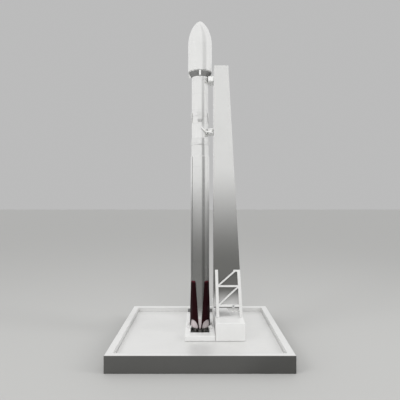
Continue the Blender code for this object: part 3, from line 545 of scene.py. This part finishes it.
# The nose: at a share of its 41 mm rise the radius is 18.7 mm times (1 - the share to the power 2.2) to the power
# 0.7. The shares go as a sine, so that the rings crowd towards the tip.
FAIRING_R, NOSE_FOOT, NOSE_RISE = 18.7, 442, 41
share = np.sin(np.pi / 2 * np.linspace(0, 1, 49))
ogive = zip(FAIRING_R * (1 - share ** 2.2) ** 0.7, DECK + NOSE_FOOT + NOSE_RISE * share)
fairing_foot = [(0, 401.3), (18.4, 401.3), (18.6, 401.37), (FAIRING_R, 401.6), (FAIRING_R, 402), (FAIRING_R, 404)]
fairing_profile = [*((radius, DECK + height) for radius, height in fairing_foot), *ogive]
for end, start, shift in (("front", np.pi, -0.15), ("rear", 0.0, 0.15)):
    half = turned(fairing_profile, steps=72, start=start, sweep=np.pi) + (0, shift, 0)
    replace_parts(shell(f"fairing_{end}_half", [half * MM], tube_white, "root", wrap_columns=False),
                f"fairing_{end}")

# The studio: a plain pale floor and soft lights from the front left, above and the right, under a pale dome,
# with one dark flag at the front right, which the floor shows too.
def make_flag_group():
    """The dark flag: 1 where the level part of a direction points within about ten degrees of the flag, and
    falling smoothly to 0 at about twenty."""
    group = bpy.data.node_groups.new("dark flag", "ShaderNodeTree")
    socket(group, "INPUT", "Vector", "Direction")
    socket(group, "OUTPUT", "Float", "Shade")
    leave = group.nodes.new("NodeGroupOutput").inputs
    entry = group.nodes.new("NodeGroupInput").outputs
    flat = node(group, "VectorMath", {0: entry["Direction"], 1: (1.0, 1.0, 0.0)}, operation="MULTIPLY").outputs[0]
    level = node(group, "VectorMath", {0: flat}, operation="NORMALIZE").outputs[0]
    near = node(group, "VectorMath", {0: level, 1: (0.695, -0.719, 0.0)}, operation="DOT_PRODUCT").outputs["Value"]
    shade = node(group, "MapRange", {"Value": near, "From Min": 0.91, "From Max": 0.98},
                 interpolation_type="SMOOTHSTEP").outputs["Result"]
    group.links.new(shade, leave["Shade"])
    return group


flag_group = make_flag_group()
floor_mesh = bpy.data.meshes.new("floor")
FLOOR_HALF = 9
corners = [(x * FLOOR_HALF, y * FLOOR_HALF, 0) for x, y in ((-1, -1), (1, -1), (1, 1), (-1, 1))]
floor_mesh.from_pydata(corners, [], [(0, 1, 2, 3)])
floor = bpy.data.objects.new("floor", floor_mesh)
bpy.context.scene.collection.objects.link(floor)
floor_material = bpy.data.materials.new("pale floor")
floor_material.use_nodes = True
# The floor is pale to the camera, paler to soft bounces and darker in reflections.
tree = floor_material.node_tree
ray = node(tree, "LightPath").outputs
spot = node(tree, "TexCoord").outputs["Object"]
flag = node(tree, "Group", {"Direction": spot}, node_tree=flag_group).outputs["Shade"]
mirror_tone = node(tree, "MapRange", {"Value": flag, "To Min": 0.4, "To Max": 0.03}).outputs["Result"]
soft_share = node(tree, "Math", {0: ray["Diffuse Depth"], 1: 0.5}, operation="GREATER_THAN").outputs[0]
bounced = node(tree, "Mix", {0: soft_share, 6: mirror_tone, 7: (0.85, 0.85, 0.84, 1.0)}, data_type="RGBA")
tone = node(tree, "Mix", {0: ray["Is Camera Ray"], 6: bounced.outputs[2], 7: (0.5, 0.5, 0.49, 1.0)}, data_type="RGBA")
tree.links.new(tone.outputs[2], tree.nodes["Principled BSDF"].inputs["Base Color"])
tree.nodes["Principled BSDF"].inputs["Roughness"].default_value = 0.8
floor_mesh.materials.append(floor_material)


def soft_light(name, place, aim, size, power, spread=100.0):
    """A flat rectangular lamp, size wide and high, that faces the aimed point and isn't seen in reflections."""
    lamp = bpy.data.lights.new(name, "AREA")
    lamp.shape = "RECTANGLE"
    lamp.size, lamp.size_y = size
    lamp.energy = power
    lamp.spread = np.radians(spread)
    made = bpy.data.objects.new(name, lamp)
    made.location = place
    made.visible_glossy = False
    facing = np.array(aim, float) - np.array(place, float)
    flat = np.hypot(facing[0], facing[1])
    made.rotation_euler = (np.arctan2(flat, -facing[2]), 0.0, np.arctan2(-facing[0], facing[1]))
    bpy.context.scene.collection.objects.link(made)


soft_light("front left", (-0.95, -0.75, 0.95), (0.02, 0.0, 0.2), (0.5, 0.5), 1.2)
soft_light("front high", (0.05, -0.85, 1.25), (0.02, 0.0, 0.15), (0.6, 0.5), 1.1)
soft_light("right side", (1.2, -0.39, 0.75), (0.0, 0.0, 0.3), (0.3, 0.6), 1.3)
world = bpy.data.worlds.new("studio")
world.use_nodes = True
bpy.context.scene.world = world
tree = world.node_tree
way = node(tree, "TexCoord").outputs["Generated"]
up = node(tree, "SeparateXYZ", {0: way}).outputs["Z"]
# The dome goes from dark below the horizon to pale above it, and the flag in it fades with height.
dome = node(tree, "MapRange", {"Value": up, "From Min": -0.05, "From Max": 0.05, "To Min": 0.06, "To Max": 0.83},
            interpolation_type="SMOOTHSTEP").outputs["Result"]
flag = node(tree, "Group", {"Direction": way}, node_tree=flag_group).outputs["Shade"]
depth = node(tree, "MapRange", {"Value": up, "From Max": 0.35, "To Min": 0.98, "To Max": 0.2}).outputs["Result"]
shaded = node(tree, "Math", {0: flag, 1: depth}, operation="MULTIPLY").outputs[0]
kept = node(tree, "Math", {0: 1.0, 1: shaded}, operation="SUBTRACT").outputs[0]
lit = node(tree, "Math", {0: dome, 1: kept}, operation="MULTIPLY").outputs[0]
seen = node(tree, "LightPath").outputs["Is Camera Ray"]
air = node(tree, "Mix", {0: seen, 2: lit, 3: 0.5}).outputs[0]
tree.links.new(air, tree.nodes["Background"].inputs["Color"])
bpy.context.scene.view_settings.view_transform = "Standard"
